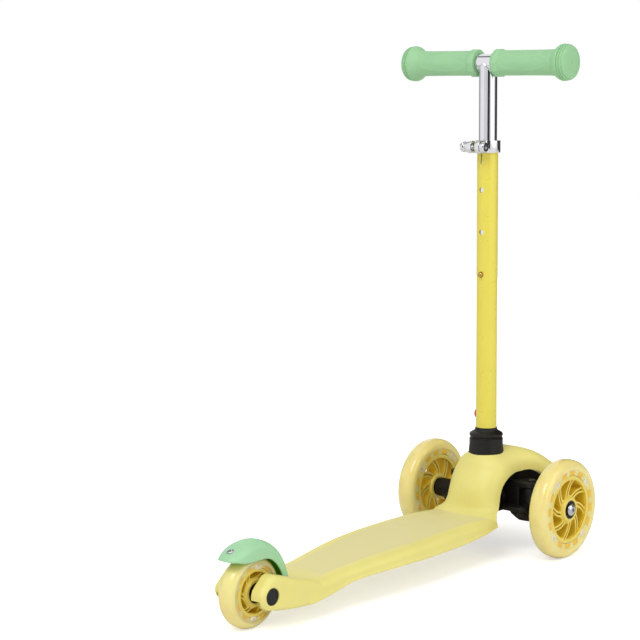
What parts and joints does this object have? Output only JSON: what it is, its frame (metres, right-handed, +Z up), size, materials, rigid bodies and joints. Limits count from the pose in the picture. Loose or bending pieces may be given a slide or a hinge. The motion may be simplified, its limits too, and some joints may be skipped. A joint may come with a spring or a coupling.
{
  "type": "three wheel kids scooter",
  "caption": "Low kick scooter for a child: two front wheels steered by leaning, a rear wheel under a foot brake, a waisted deck and a telescopic tee handlebar.",
  "frame": {"origin": "centre of the outline, on the ground that the three wheels stand on", "axes": "+X forward along the deck, +Y to the rider's left, +Z up along the stem"},
  "size_m": [0.5694, 0.238, 0.6145],
  "materials": {
    "board": "moulded, faint grain, pale yellow",
    "black_plastic": "moulded, black",
    "tube_paint": "powder coat, yellow",
    "chrome": "polished",
    "steel": "bright zinc",
    "grip": "soft, mint green",
    "flap": "moulded, mint green",
    "tyre": "translucent cast urethane, cream yellow",
    "hub": "moulded, deep yellow",
    "bush": "black",
    "brass": "turned",
    "red_plastic": "moulded, red"
  },
  "bodies": {
    "chassis": {"deck": "board", "steering_housing": "black_plastic", "stem_socket": "black_plastic", "stem_cap": "black_plastic", "outer_tube": "tube_paint", "clamp_collar": "chrome", "clamp_bolt": "chrome", "clamp_nut": "chrome", "pivot_bolt": "steel", "pivot_spacer": "steel", "rear_axle_bolt": "steel", "rear_axle_nut": "steel", "brake_pin": "steel", "rear_cap_left": "black_plastic", "rear_cap_right": "black_plastic", "rear_spacer_left": "black_plastic", "rear_spacer_right": "black_plastic"},
    "handlebar": {"handlebar_tee": "chrome", "grip_left": "grip", "grip_right": "grip", "snap_spring": "steel"},
    "height_button": {"snap_button": "brass"},
    "stem_button": {"release_button": "red_plastic", "release_spring": "steel"},
    "truck": {"truck_beam": "black_plastic", "kingpin_left": "steel", "kingpin_right": "steel", "lean_bush": "bush"},
    "left_knuckle": {"knuckle_left": "black_plastic", "axle_bolt_left": "steel"},
    "right_knuckle": {"knuckle_right": "black_plastic", "axle_bolt_right": "steel"},
    "steering_rod": {"tie_rod": "black_plastic"},
    "left_wheel": {"front_left_tyre": "tyre", "front_left_hub": "hub", "front_left_bearing_outer": "steel", "front_left_bearing_inner": "steel", "front_left_sleeve": "steel"},
    "right_wheel": {"front_right_tyre": "tyre", "front_right_hub": "hub", "front_right_bearing_outer": "steel", "front_right_bearing_inner": "steel", "front_right_sleeve": "steel"},
    "rear_wheel": {"rear_tyre": "tyre", "rear_hub": "hub", "rear_bearing_outer": "steel", "rear_bearing_inner": "steel", "rear_sleeve": "steel"},
    "brake": {"brake_flap": "flap", "brake_screw_tail": "steel", "brake_screw_front": "steel"}
  },
  "joints": [
    {"name": "handlebar_height", "type": "slide", "parent": "chassis", "child": "handlebar", "axis": [0, 0, 1], "range_m": [0, 0.102]},
    {"name": "height_button_press", "type": "slide", "parent": "chassis", "child": "height_button", "axis": [1, 0, 0], "range_m": [0, 0.004], "stiffness_N_per_m": 600},
    {"name": "stem_button_press", "type": "slide", "parent": "chassis", "child": "stem_button", "axis": [0, -1, 0], "range_m": [0, 0.002], "stiffness_N_per_m": 600},
    {"name": "truck_lean", "type": "hinge", "parent": "chassis", "child": "truck", "pos_m": [0.20481, 0, 0.066], "axis": [1, 0, 0], "range_deg": [-10, 10], "stiffness_Nm_per_rad": 30},
    {"name": "left_steer", "type": "hinge", "parent": "truck", "child": "left_knuckle", "pos_m": [0.20481, 0.054, 0.06], "axis": [0, 0, 1], "range_deg": [-12.2, 12.2]},
    {"name": "right_steer", "type": "hinge", "parent": "truck", "child": "right_knuckle", "pos_m": [0.20481, -0.054, 0.06], "axis": [0, 0, 1], "range_deg": [-12.2, 12.2]},
    {"name": "steering_rod_shift", "type": "slide", "parent": "truck", "child": "steering_rod", "axis": [0, 1, 0], "range_m": [-0.0048, 0.0048]},
    {"name": "left_wheel_spin", "type": "hinge", "parent": "left_knuckle", "child": "left_wheel", "pos_m": [0.20481, 0.099, 0.06], "axis": [0, 1, 0], "continuous": true},
    {"name": "right_wheel_spin", "type": "hinge", "parent": "right_knuckle", "child": "right_wheel", "pos_m": [0.20481, -0.099, 0.06], "axis": [0, 1, 0], "continuous": true},
    {"name": "rear_wheel_spin", "type": "hinge", "parent": "chassis", "child": "rear_wheel", "pos_m": [-0.24419, 0, 0.04], "axis": [0, 1, 0], "continuous": true},
    {"name": "brake_press", "type": "hinge", "parent": "chassis", "child": "brake", "pos_m": [-0.1922, 0, 0.0385], "axis": [0, -1, 0], "range_deg": [0, 5.5], "stiffness_Nm_per_rad": 1.5, "springref_deg": -2.86}
  ],
  "couplings": [
    {"joint": "left_steer", "follows": "truck_lean", "ratio": 1.2},
    {"joint": "right_steer", "follows": "truck_lean", "ratio": 1.2},
    {"joint": "steering_rod_shift", "follows": "truck_lean", "m_per_rad": -0.0264}
  ]
}
